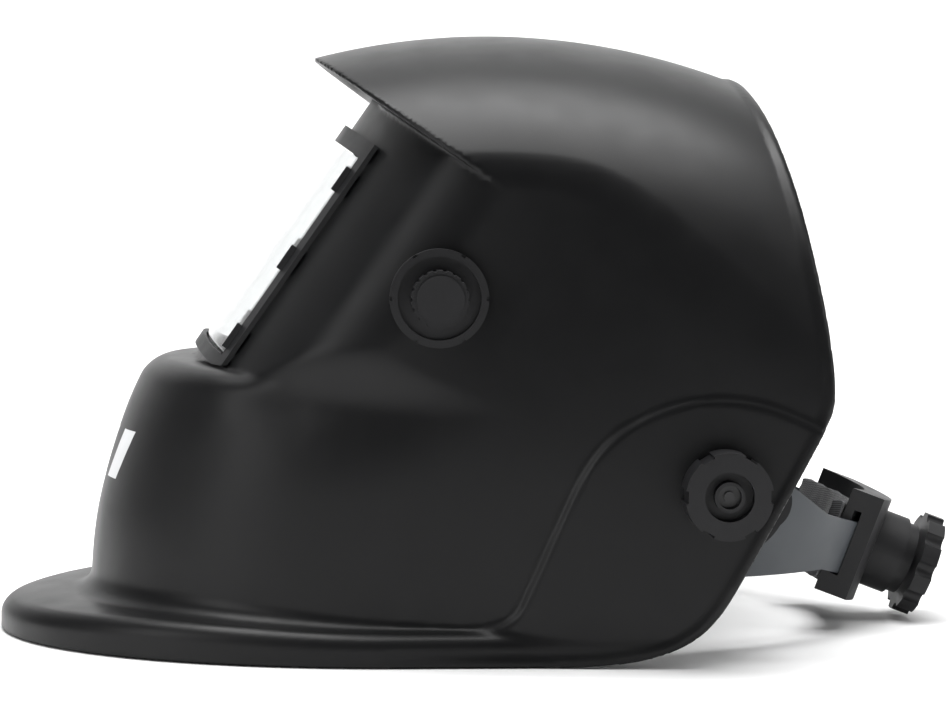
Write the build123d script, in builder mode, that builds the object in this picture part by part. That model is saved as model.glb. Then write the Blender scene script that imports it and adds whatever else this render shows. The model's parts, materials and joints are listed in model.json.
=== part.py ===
"""Auto-darkening welding helmet: shell, filter assembly, pivots and headgear.

The helmet faces -Y and stands on the flat bottom rim of its shell, +Z up, +X is the
wearer's left.  The origin is on that rim plane, midway along the whole helmet.
"""

import math
import os

from build123d import *

os.makedirs("parts", exist_ok=True)

# ---- driving dimensions, millimetres and degrees -------------------------------------
WALL = 2.5
FIT = 0.3  # running clearance between bodies

# shell
CHIN_CENTRE_Y = -27.0
CHIN_HALF_WIDTH = 98.0
CHIN_SECTIONS = ((0.0, 98.0, 118.4), (40.0, 98.0, 115.6), (75.0, 97.8, 107.0), (101.5, 97.0, 95.0))
LIP_SECTIONS = ((0.0, 108.0, 151.4), (4.0, 107.6, 150.6), (10.0, 104.0, 138.0), (15.0, 99.0, 120.0))
SIDE_LINE = ((106.0, 20.0), (111.0, 60.0), (113.5, 135.0))  # half width at each Y station
LIP_LINE = ((109.5, 20.0), (111.5, 60.0), (113.9, 135.0))
CROWN_CENTRE_Y = 4.0
CROWN_CENTRE_Z = -35.5
CROWN_ARCH = (
    (0.0, 256.0),
    (35.0, 251.4),
    (62.0, 240.0),
    (86.0, 223.7),
    (103.0, 203.0),
    (111.0, 178.0),
    (114.0, 150.0),
)
VISOR_TIP = (-61.0, 212.0)
VISOR_SLOPE = 35.3
SHELF_Z = 101.5
PANEL_START_Z = 90.0
BACK_EDGE = ((94.0, 214.0), (97.5, 203.5), (105.0, 181.0), (113.0, 141.0), (118.5, 101.0))
BACK_CORNER = (116.0, 84.0)
LOWER_BACK = (84.0, 26.0)
RIM_END_Y = 16.0

# lens opening and its parts; measured along and out of the leaning lens panel
LENS_LEAN = 35.0
LENS_ALONG = 76.4
LENS_FACE = 144.5  # distance of the panel's middle from the X axis line
LENS_RADIUS = 143.6
FRAME_WIDTH = 114.0
FRAME_HEIGHT = 98.5
WINDOW_WIDTH = 104.0
WINDOW_HEIGHT = 87.0
FRAME_PROUD = 2.8
FILTER_WIDTH = 110.0
FILTER_HEIGHT = 90.0
FILTER_THICK = 9.0
FILTER_FRONT = 125.0
TAB_PITCH = 34.25
VIEW_WIDTH = 96.0  # the part of the filter that is looked through
VIEW_HEIGHT = 46.0
VIEW_LIFT = 9.0

# pivots
PIVOT_Y = 79.9
PIVOT_Z = 61.6
PIVOT_WALL_X = 111.0
KNOB_BACK_X = 113.6
KNOB_RADIUS = 15.1
KNOB_FACE_X = 128.0

# shade control
DIAL_Y = -17.8
DIAL_Z = 128.2
DIAL_RADIUS = 17.15
DIAL_WALL_X = 99.2

# headgear, in the tilted plane of the band
STRAP_WIDTH = 20.0
STRAP_RISE = 108.0
LEG_TOP = 22.0  # height of the straight legs of the crown straps
BAND_TILT = 21.0
BAND_CENTRE = (49.7, 64.0)
BAND_A = 80.0
BAND_B = 99.5
BAND_THICK = 2.0
RATCHET_UP = 2.0
RATCHET_RADIUS = 19.5
RATCHET_FACE = 130.2  # rear face of the ratchet knob, behind the middle of the band
RACK_PITCH = 3.2

# pivot stack, outward from the headband
STUD_RADIUS = 4.0
RAIL_X = 82.6
STOP_DISC_X = 103.0
STOP_PIN_RADIUS = 17.0
STOP_PIN_SIZE = 2.0
STOP_PIN_ANGLE = 200.0  # about the pivot, from the rear and upward
FLIP_RANGE = 65.0
SENSOR_PLACES = ((-44.0, -21.0), (44.0, -21.0), (-44.0, -35.0), (44.0, -35.0))

lean = math.radians(LENS_LEAN)
LENS_UP = Vector(0, math.sin(lean), math.cos(lean))
LENS_OUT = Vector(0, -math.cos(lean), math.sin(lean))
tilt = math.radians(BAND_TILT)
BAND_REAR = Vector(0, math.cos(tilt), -math.sin(tilt))
BAND_UP = Vector(0, math.sin(tilt), math.cos(tilt))
SIDES = (("left", 1), ("right", -1))


def lens_plane(out, along=LENS_ALONG):
    """Plane facing out of the lens panel; local Y runs up the panel."""
    return Plane(origin=LENS_UP * along + LENS_OUT * out, x_dir=(1, 0, 0), z_dir=LENS_OUT)


def lens_section(along):
    """Plane across the lens panel; local Y points inward, to the face."""
    return Plane(origin=LENS_UP * along, x_dir=(1, 0, 0), z_dir=LENS_UP)


def band_plane(up=0.0, rear=0.0):
    """Plane of the headband, raised along its own normal; local Y runs to the rear."""
    middle = Vector(0, *BAND_CENTRE) + BAND_UP * up + BAND_REAR * rear
    return Plane(origin=middle, x_dir=(1, 0, 0), z_dir=BAND_UP)


def rear_plane(rear, up=RATCHET_UP):
    """Plane across the ratchet axis, facing the rear."""
    middle = Vector(0, *BAND_CENTRE) + BAND_UP * up + BAND_REAR * rear
    return Plane(origin=middle, x_dir=(1, 0, 0), z_dir=BAND_REAR)


def side_plane(x, side=1, y=PIVOT_Y, z=PIVOT_Z):
    """Plane facing outward at one side, through a point of that side."""
    return Plane(origin=(side * x, y, z), x_dir=(0, 1, 0), z_dir=(side, 0, 0))


def plan_face(height, half_width, front, inset, line):
    """Horizontal section of the shell: half an ellipse in front, flared sides behind."""
    width = half_width - inset
    flare = [(x - inset, y) for x, y in line]
    mirrored = [(-x, y) for x, y in flare]
    with BuildSketch(Plane.XY.offset(height), mode=Mode.PRIVATE) as section:
        with BuildLine():
            EllipticalCenterArc((0, CHIN_CENTRE_Y), width, front - inset, 180, arc_size=180)
            Spline((width, CHIN_CENTRE_Y), *flare, tangents=((0, 1), (0.03, 1)))
            Line(flare[-1], mirrored[-1])
            Spline((-width, CHIN_CENTRE_Y), *mirrored, tangents=((0, 1), (-0.03, 1)))
        make_face()
    return section.sketch


def panel_y(x):
    """Y of the lens panel at the height where its section starts."""
    out = LENS_FACE - LENS_RADIUS + math.sqrt(LENS_RADIUS**2 - x**2)
    return -(out - PANEL_START_Z * math.sin(lean)) / math.cos(lean)


def panel_face(drop, inset, part):
    """Horizontal section of the upper shell behind the bowed lens panel, or in front of it.

    "behind" is the head space and its walls, "front" the open air before the panel, and
    "both" the two together inside the side walls.
    """
    middle = panel_y(0.0) + inset / math.cos(lean)
    edge_x = 57.0
    edge = panel_y(edge_x) + inset / math.cos(lean)
    corner = (CHIN_HALF_WIDTH - inset - 0.6, edge + 52.0)
    side = [corner] + [(x - inset, y) for x, y in SIDE_LINE]
    mirrored = [(-x, y) for x, y in side]
    far_x = 100 if part == "both" else 160
    far_y = corner[1] - 130
    start = Plane.XY.offset(PANEL_START_Z).move(Location(LENS_UP * -drop))
    with BuildSketch(start, mode=Mode.PRIVATE) as section:
        with BuildLine():
            if part != "both":
                ThreePointArc((-edge_x, edge), (0, middle), (edge_x, edge))
                Spline((edge_x, edge), corner, tangents=((0.88, 0.48), (0.01, 1)))
                Spline((-edge_x, edge), mirrored[0], tangents=((-0.88, 0.48), (-0.01, 1)))
            if part == "front":
                Polyline(corner, (far_x, corner[1]), (far_x, far_y))
                Polyline((far_x, far_y), (-far_x, far_y), (-far_x, corner[1]), mirrored[0])
            if part == "both":
                Polyline(corner, (corner[0], far_y), (-corner[0], far_y), mirrored[0])
            if part != "front":
                Spline(*side, tangents=((0.01, 1), (0.03, 1)))
                Line(side[-1], mirrored[-1])
                Spline(*mirrored, tangents=((-0.01, 1), (-0.03, 1)))
        make_face()
    return section.sketch


def crown_solid(inset):
    """Body of the crown: one arch swept about an axis across the head."""
    shrink = 1 - inset / CROWN_ARCH[-1][0]
    arch = [(x * shrink, r - inset) for x, r in CROWN_ARCH]
    plane = Plane(origin=(0, CROWN_CENTRE_Y, CROWN_CENTRE_Z), x_dir=(1, 0, 0), z_dir=(0, -1, 0))
    with BuildPart(mode=Mode.PRIVATE) as crown:
        with BuildSketch(plane):
            with BuildLine():
                Line((0, 0), (0, arch[0][1]))
                Spline(*arch, tangents=((1, 0), (0.06, -1)))
                Line(arch[-1], (arch[-1][0], 0))
                Line((arch[-1][0], 0), (0, 0))
            make_face()
        revolve(axis=Axis((0, CROWN_CENTRE_Y, CROWN_CENTRE_Z), (1, 0, 0)))
        mirror(about=Plane.YZ)
    return crown.part


def upper_solid(inset, start_z, part):
    """The upper shell, or the air before it, drawn up along the lean of the lens panel."""
    drop = (PANEL_START_Z - start_z) / math.cos(lean)
    with BuildPart(mode=Mode.PRIVATE) as upper:
        extrude(panel_face(drop, inset, part), amount=190.0, dir=LENS_UP)
    return upper.part


def lofted_solid(sections, line, inset, floor):
    """A stack of horizontal sections, (Z, half width, front half length) each."""
    faces = []
    for z, half_width, front in sections:
        height = floor if z == 0 else z - inset
        faces.append(plan_face(height, half_width, front, inset, line))
    with BuildPart(mode=Mode.PRIVATE) as body:
        loft(faces)
    return body.part


def head_space():
    """The hollow of the upper shell."""
    with BuildPart(mode=Mode.PRIVATE) as space:
        add(upper_solid(WALL, PANEL_START_Z - 12, "behind"))
        add(crown_solid(WALL), mode=Mode.INTERSECT)
    return space.part


def bowed_strip(out, thick, width):
    """Section of a sheet bowed like the lens panel, its front at the given distance."""
    half = width / 2
    bow = LENS_RADIUS - math.sqrt(LENS_RADIUS**2 - half**2)
    with BuildSketch(mode=Mode.PRIVATE) as strip:
        with BuildLine():
            ThreePointArc((-half, bow - out), (0, -out), (half, bow - out))
            Line((half, bow - out), (half, bow - out + thick))
            ThreePointArc((half, bow - out + thick), (0, thick - out), (-half, bow - out + thick))
            Line((-half, bow - out + thick), (-half, bow - out))
        make_face()
    return strip.sketch


def oval_ring(outward, thick):
    """Plan of a strap that follows the head, its outside this far beyond the band's."""
    with BuildSketch(mode=Mode.PRIVATE) as ring:
        Ellipse(BAND_A + outward, BAND_B + outward)
        Ellipse(BAND_A + outward - thick, BAND_B + outward - thick, mode=Mode.SUBTRACT)
    return ring.sketch


def band_point(rear, up):
    """Y and Z of a place on the headband's side."""
    place = Vector(0, *BAND_CENTRE) + BAND_REAR * rear + BAND_UP * up
    return place.Y, place.Z


def finish(name, built):
    """Label one piece and write it to its own file."""
    built.part.label = name
    export_step(built.part, f"parts/{name}.step")


# ---- shell ----------------------------------------------------------------------------
with BuildPart() as under_visor:
    add(upper_solid(0, PANEL_START_Z, "front"))
    add(crown_solid(WALL), mode=Mode.INTERSECT)

with BuildPart() as before_visor:
    add(upper_solid(0, PANEL_START_Z, "front"))
    with BuildSketch(Plane.YZ):
        with BuildLine():
            slope = math.radians(VISOR_SLOPE)
            far = (VISOR_TIP[0] + 130 * math.cos(slope), VISOR_TIP[1] - 130 * math.sin(slope))
            near = (VISOR_TIP[0] - 60 * math.cos(slope), VISOR_TIP[1] + 60 * math.sin(slope))
            Polyline(near, far, (far[0], 40), (-300, 40), (-300, near[1]), near)
        make_face()
    extrude(amount=170, both=True, mode=Mode.INTERSECT)

with BuildPart() as helmet_shell:
    add(upper_solid(0, PANEL_START_Z, "both"))
    add(crown_solid(0), mode=Mode.INTERSECT)
    add(under_visor.part, mode=Mode.SUBTRACT)
    add(before_visor.part, mode=Mode.SUBTRACT)
    add(lofted_solid(CHIN_SECTIONS, SIDE_LINE, 0, 0))
    add(lofted_solid(LIP_SECTIONS, LIP_LINE, 0, 0))
    add(lofted_solid(CHIN_SECTIONS, SIDE_LINE, WALL, -6), mode=Mode.SUBTRACT)
    add(lofted_solid(LIP_SECTIONS, LIP_LINE, WALL, -6), mode=Mode.SUBTRACT)
    add(head_space(), mode=Mode.SUBTRACT)
    # the open back, with its curved lower corner
    with BuildSketch(Plane.YZ):
        with BuildLine():
            Spline(*BACK_EDGE, tangents=((0.35, -1), (0.05, -1)))
            corner = Spline(
                BACK_EDGE[-1], BACK_CORNER, LOWER_BACK, tangents=((0.05, -1), (-0.57, -0.82))
            )
            Spline(LOWER_BACK, (60, 5), (RIM_END_Y, 0), tangents=((-0.57, -0.82), (-1, 0)))
            Polyline((RIM_END_Y, 0), (RIM_END_Y, -10), (400, -10), (400, 300), (94, 300), BACK_EDGE[0])
        make_face()
    extrude(amount=140, both=True, mode=Mode.SUBTRACT)
    # the lens opening, with a shallow seat for the retaining frame
    with BuildSketch(lens_plane(LENS_FACE - 40)):
        RectangleRounded(WINDOW_WIDTH, WINDOW_HEIGHT, 3)
    extrude(amount=60, mode=Mode.SUBTRACT)
    # holes for the two pivot studs and the shade control
    for _, side in SIDES:
        with BuildSketch(side_plane(PIVOT_WALL_X - 12, side)):
            Circle(STUD_RADIUS + 1.0)
        extrude(amount=20, mode=Mode.SUBTRACT)
        with BuildSketch(side_plane(PIVOT_WALL_X - 12, side)):
            with PolarLocations(STOP_PIN_RADIUS, 1, start_angle=side * STOP_PIN_ANGLE):
                Circle(STOP_PIN_SIZE)
        extrude(amount=11, mode=Mode.SUBTRACT)
    with BuildSketch(side_plane(DIAL_WALL_X - 12, 1, DIAL_Y, DIAL_Z)):
        Circle(4.0)
    extrude(amount=20, mode=Mode.SUBTRACT)
finish("helmet_shell", helmet_shell)

# ---- lens opening ---------------------------------------------------------------------
with BuildPart() as lens_retainer_frame:
    with BuildSketch(lens_section(LENS_ALONG - FRAME_HEIGHT / 2)):
        add(bowed_strip(LENS_FACE + FRAME_PROUD, 2.0 - FIT, FRAME_WIDTH))
    extrude(amount=FRAME_HEIGHT)
    with BuildSketch(lens_plane(100)):
        with Locations((0, -1)):
            Rectangle(WINDOW_WIDTH, FRAME_HEIGHT - 12)
    extrude(amount=60, mode=Mode.SUBTRACT)
    # three clips on each side hold the cover lens
    for row in (-1, 0, 1):
        for side in (-1, 1):
            with BuildSketch(lens_plane(LENS_FACE - 8.4)):
                with Locations((side * (WINDOW_WIDTH / 2 - 0.5), row * TAB_PITCH - 2)):
                    Rectangle(3.6, 10)
            extrude(amount=3.2)
    # its lower corners are cut level, just clear of the shelf above the chin
    with BuildSketch(Plane.XY.offset(SHELF_Z + FIT)):
        Rectangle(300, 400)
    extrude(amount=-60, mode=Mode.SUBTRACT)
finish("lens_retainer_frame", lens_retainer_frame)

with BuildPart() as front_cover_lens:
    with BuildSketch(lens_section(LENS_ALONG - WINDOW_HEIGHT / 2 + FIT)):
        add(bowed_strip(LENS_FACE + 1.0, 1.5, WINDOW_WIDTH - 6))
    extrude(amount=WINDOW_HEIGHT - 2.0)
finish("front_cover_lens", front_cover_lens)

with BuildPart() as adf_holder_frame:
    with BuildSketch(lens_plane(FILTER_FRONT - FILTER_THICK - 1.5)):
        RectangleRounded(FILTER_WIDTH + 10, FILTER_HEIGHT + 9, 4)
        RectangleRounded(FILTER_WIDTH + FIT, FILTER_HEIGHT + FIT, 3, mode=Mode.SUBTRACT)
    extrude(amount=FILTER_THICK + 1.2)
    with BuildSketch(lens_plane(FILTER_FRONT - FIT)):
        RectangleRounded(FILTER_WIDTH + 10, FILTER_HEIGHT + 9, 4)
        RectangleRounded(FILTER_WIDTH - 8, FILTER_HEIGHT - 8, 3, mode=Mode.SUBTRACT)
    extrude(amount=1.5)
finish("adf_holder_frame", adf_holder_frame)

with BuildPart() as lens_gasket:
    with BuildSketch(lens_plane(FILTER_FRONT + 1.2)):
        RectangleRounded(FILTER_WIDTH + 2, FILTER_HEIGHT + 2, 3)
        RectangleRounded(FILTER_WIDTH - 4, FILTER_HEIGHT - 5, 3, mode=Mode.SUBTRACT)
    extrude(amount=1.2)
finish("lens_gasket", lens_gasket)

with BuildPart() as adf_housing:
    with BuildSketch(lens_plane(FILTER_FRONT - FILTER_THICK)):
        RectangleRounded(FILTER_WIDTH, FILTER_HEIGHT, 3)
    extrude(amount=FILTER_THICK - 0.4)
    # the view, cut right through, and pockets for the cell strip and the four sensors
    with BuildSketch(lens_plane(FILTER_FRONT - FILTER_THICK)):
        with Locations((0, VIEW_LIFT)):
            Rectangle(VIEW_WIDTH, VIEW_HEIGHT)
    extrude(amount=FILTER_THICK, mode=Mode.SUBTRACT)
    with BuildSketch(lens_plane(FILTER_FRONT - 2.4)):
        with Locations((0, -26)):
            Rectangle(50, 14)
        with Locations(*SENSOR_PLACES):
            Circle(3.2)
    extrude(amount=3, mode=Mode.SUBTRACT)
    for x in (-34.0, 34.0):
        with BuildSketch(lens_plane(FILTER_FRONT - FILTER_THICK, LENS_ALONG)):
            with Locations((x, -29)):
                Circle(3.4)
        extrude(amount=4, mode=Mode.SUBTRACT)
    with BuildSketch(lens_plane(FILTER_FRONT - FILTER_THICK)):
        with Locations((0, -29)):
            Circle(3.0)
    extrude(amount=4, mode=Mode.SUBTRACT)
finish("adf_housing", adf_housing)

with BuildPart() as adf_filter_glass:
    with BuildSketch(lens_plane(FILTER_FRONT - 6.5)):
        with Locations((0, VIEW_LIFT)):
            Rectangle(VIEW_WIDTH - 0.2, VIEW_HEIGHT - 0.2)
    extrude(amount=5.0)
finish("adf_filter_glass", adf_filter_glass)

with BuildPart() as adf_solar_panel:
    with BuildSketch(lens_plane(FILTER_FRONT - 2.4)):
        with Locations((0, -26)):
            Rectangle(49.6, 13.6)
    extrude(amount=1.6)
finish("adf_solar_panel", adf_solar_panel)

with BuildPart() as adf_arc_sensors:
    for place in SENSOR_PLACES:
        with BuildSketch(lens_plane(FILTER_FRONT - 2.4)):
            with Locations(place):
                Circle(2.9)
        extrude(amount=1.4)
finish("adf_arc_sensors", adf_arc_sensors)

with BuildPart() as inner_cover_lens:
    with BuildSketch(lens_plane(FILTER_FRONT - FILTER_THICK - 1.3)):
        with Locations((0, VIEW_LIFT)):
            RectangleRounded(VIEW_WIDTH + 6, VIEW_HEIGHT + 4, 2)
    extrude(amount=1.0)
finish("inner_cover_lens", inner_cover_lens)

with BuildPart() as holder_spring_clips:
    for side in (-1, 1):
        with BuildSketch(lens_plane(FILTER_FRONT - FILTER_THICK - 3.2)):
            with Locations((side * (FILTER_WIDTH / 2 - 1), 0)):
                SlotOverall(56, 3, rotation=90)
        extrude(amount=1.5)
finish("holder_spring_clips", holder_spring_clips)

for name, x in (("sensitivity_knob", -34.0), ("delay_knob", 34.0)):
    with BuildPart() as small_knob:
        with BuildSketch(lens_plane(FILTER_FRONT - FILTER_THICK + 3.5)):
            with Locations((x, -29)):
                Circle(2.8)
        extrude(amount=-6.0)
        with BuildSketch(lens_plane(FILTER_FRONT - FILTER_THICK - 0.6)):
            with Locations((x, -29)):
                Circle(6.0)
                with PolarLocations(6.3, 10):
                    Circle(0.8, mode=Mode.SUBTRACT)
        extrude(amount=-5.0)
        with BuildSketch(lens_plane(FILTER_FRONT - FILTER_THICK - 5.6)):
            with Locations((x, -26.4)):
                Rectangle(1.0, 4.0)
        extrude(amount=0.5, mode=Mode.SUBTRACT)
    finish(name, small_knob)

with BuildPart() as test_button:
    with BuildSketch(lens_plane(FILTER_FRONT - FILTER_THICK + 1.5)):
        with Locations((0, -29)):
            Circle(2.6)
    extrude(amount=-4.5)
finish("test_button", test_button)

# ---- shade control --------------------------------------------------------------------
with BuildPart() as shade_dial_ring:
    with BuildSketch(side_plane(DIAL_WALL_X + 0.2, 1, DIAL_Y, DIAL_Z)):
        Circle(DIAL_RADIUS)
        Circle(3.8, mode=Mode.SUBTRACT)
    extrude(amount=2.0)
    with BuildSketch(side_plane(DIAL_WALL_X + 2.2, 1, DIAL_Y, DIAL_Z)):
        Circle(DIAL_RADIUS)
        Circle(DIAL_RADIUS - 2.7, mode=Mode.SUBTRACT)
        with PolarLocations(DIAL_RADIUS, 6):
            Rectangle(1.6, 1.6, mode=Mode.SUBTRACT)
    extrude(amount=2.0)
finish("shade_dial_ring", shade_dial_ring)

with BuildPart() as shade_knob:
    with BuildSketch(side_plane(DIAL_WALL_X + 2.5, 1, DIAL_Y, DIAL_Z)):
        Circle(10.0)
        with PolarLocations(10.4, 18):
            Circle(0.9, mode=Mode.SUBTRACT)
        Circle(3.0, mode=Mode.SUBTRACT)
    extrude(amount=9.0)
    with BuildSketch(side_plane(DIAL_WALL_X + 9.0, 1, DIAL_Y, DIAL_Z)):
        Circle(8.3)
    extrude(amount=3.5)
finish("shade_knob", shade_knob)

with BuildPart() as pot_shaft:
    with BuildSketch(side_plane(DIAL_WALL_X - 10.0, 1, DIAL_Y, DIAL_Z)):
        Circle(2.9)
    extrude(amount=19.0)
finish("pot_shaft", pot_shaft)

with BuildPart() as shade_pot_nut:
    with BuildSketch(side_plane(DIAL_WALL_X - 7.6, 1, DIAL_Y, DIAL_Z)):
        RegularPolygon(6.0, 6)
        Circle(3.3, mode=Mode.SUBTRACT)
    extrude(amount=2.4)
finish("shade_pot_nut", shade_pot_nut)

with BuildPart() as shade_pot_housing:
    with BuildSketch(side_plane(DIAL_WALL_X - 20.0, 1, DIAL_Y, DIAL_Z)):
        RectangleRounded(26, 22, 3)
    extrude(amount=12.0)
    with BuildSketch(side_plane(DIAL_WALL_X - 10.5, 1, DIAL_Y, DIAL_Z)):
        Circle(3.2)
    extrude(amount=4, mode=Mode.SUBTRACT)
finish("shade_pot_housing", shade_pot_housing)

# the lead runs from the control housing to the filter, clear of the wall all the way
filter_side = LENS_UP * LENS_ALONG + LENS_OUT * (FILTER_FRONT - 5)
filter_side += Vector(FILTER_WIDTH / 2 + 5.6, 0, 0)
lead_start = Vector(DIAL_WALL_X - 14, DIAL_Y - 13.1, DIAL_Z)
lead_points = [
    lead_start,
    lead_start + Vector(-1, -7, 0.5),
    filter_side + Vector(12, 2, 1),
    filter_side,
]
with BuildPart() as shade_lead:
    with BuildLine():
        FilletPolyline(*lead_points, radius=4.0)
    with BuildSketch(Plane(lead_start, z_dir=(0, -1, 0.05))):
        Circle(1.5)
    sweep()
finish("shade_lead", shade_lead)

# ---- pivots ---------------------------------------------------------------------------
for name, side in SIDES:
    rail_angle = -side * BAND_TILT
    with BuildPart() as slide_rail:
        with BuildSketch(side_plane(RAIL_X - 24, side)):
            SlotOverall(58, 22, rotation=rail_angle)
        extrude(amount=27.0)
        with BuildSketch(side_plane(RAIL_X, side)):
            SlotOverall(40, 6.6, rotation=rail_angle)
        extrude(amount=5.0, mode=Mode.SUBTRACT)
        with BuildSketch(band_plane(-40)):
            Ellipse(BAND_A + BAND_THICK + FIT, BAND_B + BAND_THICK + FIT)
        extrude(amount=80, mode=Mode.SUBTRACT)
    finish(f"slide_rail_{name}", slide_rail)

    with BuildPart() as pivot_slider:
        with BuildSketch(side_plane(RAIL_X + 3.0 + FIT, side)):
            RectangleRounded(24, 22, 4, rotation=rail_angle)
        extrude(amount=6.0)
        with BuildSketch(side_plane(RAIL_X + 3.0 + FIT, side)):
            SlotOverall(20, 6.0, rotation=rail_angle)
        extrude(amount=-(2.8 + FIT))
        with BuildSketch(side_plane(RAIL_X + 9.0, side)):
            Circle(11.0)
        extrude(amount=STOP_DISC_X - RAIL_X - 9.0)
        with BuildSketch(side_plane(RAIL_X + 6.0, side)):
            Circle(STUD_RADIUS + 0.05)
        extrude(amount=60, mode=Mode.SUBTRACT)
    finish(f"pivot_slider_{name}", pivot_slider)

    first = STOP_PIN_ANGLE - FLIP_RANGE if side > 0 else -STOP_PIN_ANGLE
    slot = CenterArc((0, 0), STOP_PIN_RADIUS, first, arc_size=FLIP_RANGE)
    with BuildPart() as angle_stop_disc:
        with BuildSketch(side_plane(STOP_DISC_X, side)):
            Circle(24.0)
            Circle(STUD_RADIUS + 0.05, mode=Mode.SUBTRACT)
            SlotArc(slot, 2 * (STOP_PIN_SIZE + 0.4), mode=Mode.SUBTRACT)
        extrude(amount=3.0)
    finish(f"angle_stop_disc_{name}", angle_stop_disc)

    with BuildPart() as friction_washer:
        with BuildSketch(side_plane(STOP_DISC_X + 3.0, side)):
            Circle(12.0)
            Circle(STUD_RADIUS + 0.05, mode=Mode.SUBTRACT)
        extrude(amount=PIVOT_WALL_X - WALL - STOP_DISC_X - 3.0 - FIT - 0.6)
    finish(f"friction_washer_{name}", friction_washer)

    with BuildPart() as pivot_stud:
        with BuildSketch(side_plane(RAIL_X + 6.0, side)):
            Circle(STUD_RADIUS)
        extrude(amount=KNOB_FACE_X - 3.0 - RAIL_X - 6.0)
        with BuildSketch(side_plane(KNOB_FACE_X - 3.0, side)):
            Circle(1.8)
        extrude(amount=1.0)
    finish(f"pivot_stud_{name}", pivot_stud)

    with BuildPart() as stop_pin:
        with BuildSketch(side_plane(STOP_DISC_X, side)):
            with PolarLocations(STOP_PIN_RADIUS, 1, start_angle=side * STOP_PIN_ANGLE):
                Circle(STOP_PIN_SIZE)
        extrude(amount=PIVOT_WALL_X - 1.0 - STOP_DISC_X)
    finish(f"stop_pin_{name}", stop_pin)

    with BuildPart() as tension_knob:
        with BuildSketch(side_plane(KNOB_BACK_X, side)):
            Circle(KNOB_RADIUS)
            with PolarLocations(KNOB_RADIUS + 0.6, 6):
                Rectangle(3.2, 4.5, mode=Mode.SUBTRACT)
            Circle(STUD_RADIUS + 0.05, mode=Mode.SUBTRACT)
        extrude(amount=KNOB_FACE_X - KNOB_BACK_X)
        with BuildSketch(side_plane(KNOB_FACE_X - 4.0, side)):
            Circle(8.5)
            Circle(STUD_RADIUS + 1.2, mode=Mode.SUBTRACT)
        extrude(amount=4.0, mode=Mode.SUBTRACT)
    finish(f"tension_knob_{name}", tension_knob)

# ---- headgear -------------------------------------------------------------------------
with BuildPart() as front_headband:
    with BuildSketch(band_plane(-14)):
        add(oval_ring(0, BAND_THICK))
    extrude(amount=34)
    with BuildSketch(band_plane(-20)):
        with Locations((0, 90)):
            Rectangle(240, 110)
    extrude(amount=50, mode=Mode.SUBTRACT)
    # the forehead stretch is lightened by a row of slots
    with BuildSketch(rear_plane(-60, 6)):
        with GridLocations(22, 1, 4, 1):
            SlotOverall(14, 6)
    extrude(amount=-60, mode=Mode.SUBTRACT)
finish("front_headband", front_headband)

with BuildPart() as sweatband_pad:
    with BuildSketch(band_plane(-10)):
        add(oval_ring(-BAND_THICK - FIT, 5.0))
    extrude(amount=28)
    with BuildSketch(band_plane(-20)):
        with Locations((0, 60)):
            Rectangle(240, 190)
    extrude(amount=50, mode=Mode.SUBTRACT)
finish("sweatband_pad", sweatband_pad)

for name, side in SIDES:
    with BuildPart() as rear_strap:
        with BuildSketch(band_plane(-24)):
            add(oval_ring(BAND_THICK + FIT, BAND_THICK))
        extrude(amount=48)
        # the strap narrows from the pivot to the ratchet, then ends in its half of the rack
        with BuildSketch(Plane(origin=band_plane().origin, x_dir=BAND_REAR, z_dir=(1, 0, 0))):
            with BuildLine():
                Polyline(
                    (5, -13),
                    (5, 13),
                    (24, 22),
                    (48, 20),
                    (78, 10.5),
                    (110, 10.5),
                    (110, -9.5),
                    (84, -9.5),
                    (46, -23),
                    (24, -20),
                    (5, -13),
                )
            make_face()
        extrude(amount=side * 100, mode=Mode.INTERSECT)
        with BuildSketch(band_plane(RATCHET_UP - 30)):
            with Locations((0, 100)):
                Rectangle(44, 40)
        extrude(amount=60, mode=Mode.SUBTRACT)
        with BuildSketch(band_plane(RATCHET_UP + (4.8 if side > 0 else -8.8))):
            add(oval_ring(BAND_THICK + FIT, BAND_THICK))
            with Locations((side * 4, 99)):
                Rectangle(42, 60, mode=Mode.INTERSECT)
        extrude(amount=4.0)
        with BuildSketch(rear_plane(90)):
            with Locations(*[(tooth * RACK_PITCH, side * -5.2) for tooth in range(-5, 6)]):
                Rectangle(1.5, 0.9)
        extrude(amount=20, mode=Mode.SUBTRACT)
    finish(f"rear_strap_{name}", rear_strap)

for place, rear in (("front", -52.0), ("rear", -24.0)):
    foot_x = BAND_A * math.sqrt(1 - (rear + STRAP_WIDTH) ** 2 / BAND_B**2)
    for name, side in SIDES:
        rise = STRAP_RISE if side > 0 else STRAP_RISE - 2.2
        with BuildPart() as crown_strap:
            with BuildSketch(rear_plane(rear, 0)):
                with Locations((0, -LEG_TOP)):
                    Ellipse(foot_x + 1.7, rise - LEG_TOP)
                with Locations((0, -LEG_TOP / 2)):
                    Rectangle(2 * foot_x + 3.4, LEG_TOP)
                with Locations((0, -LEG_TOP)):
                    Ellipse(foot_x + 0.1, rise - LEG_TOP - 1.6, mode=Mode.SUBTRACT)
                with Locations((0, -LEG_TOP / 2)):
                    Rectangle(2 * foot_x + 0.2, LEG_TOP, mode=Mode.SUBTRACT)
                with Locations((side * 40, -60)):
                    Rectangle(128, 120, mode=Mode.INTERSECT)
            extrude(amount=STRAP_WIDTH)
            # peg holes along the top
            with BuildSketch(band_plane(80, rear + STRAP_WIDTH / 2)):
                with Locations((0, 0), (14 * side, 0)):
                    Circle(3.0)
            extrude(amount=40, mode=Mode.SUBTRACT)
            with BuildSketch(side_plane(60, side, *band_point(rear + STRAP_WIDTH / 2, 8))):
                Circle(2.5)
            extrude(amount=40, mode=Mode.SUBTRACT)
        finish(f"crown_strap_{place}_{name}", crown_strap)

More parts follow.
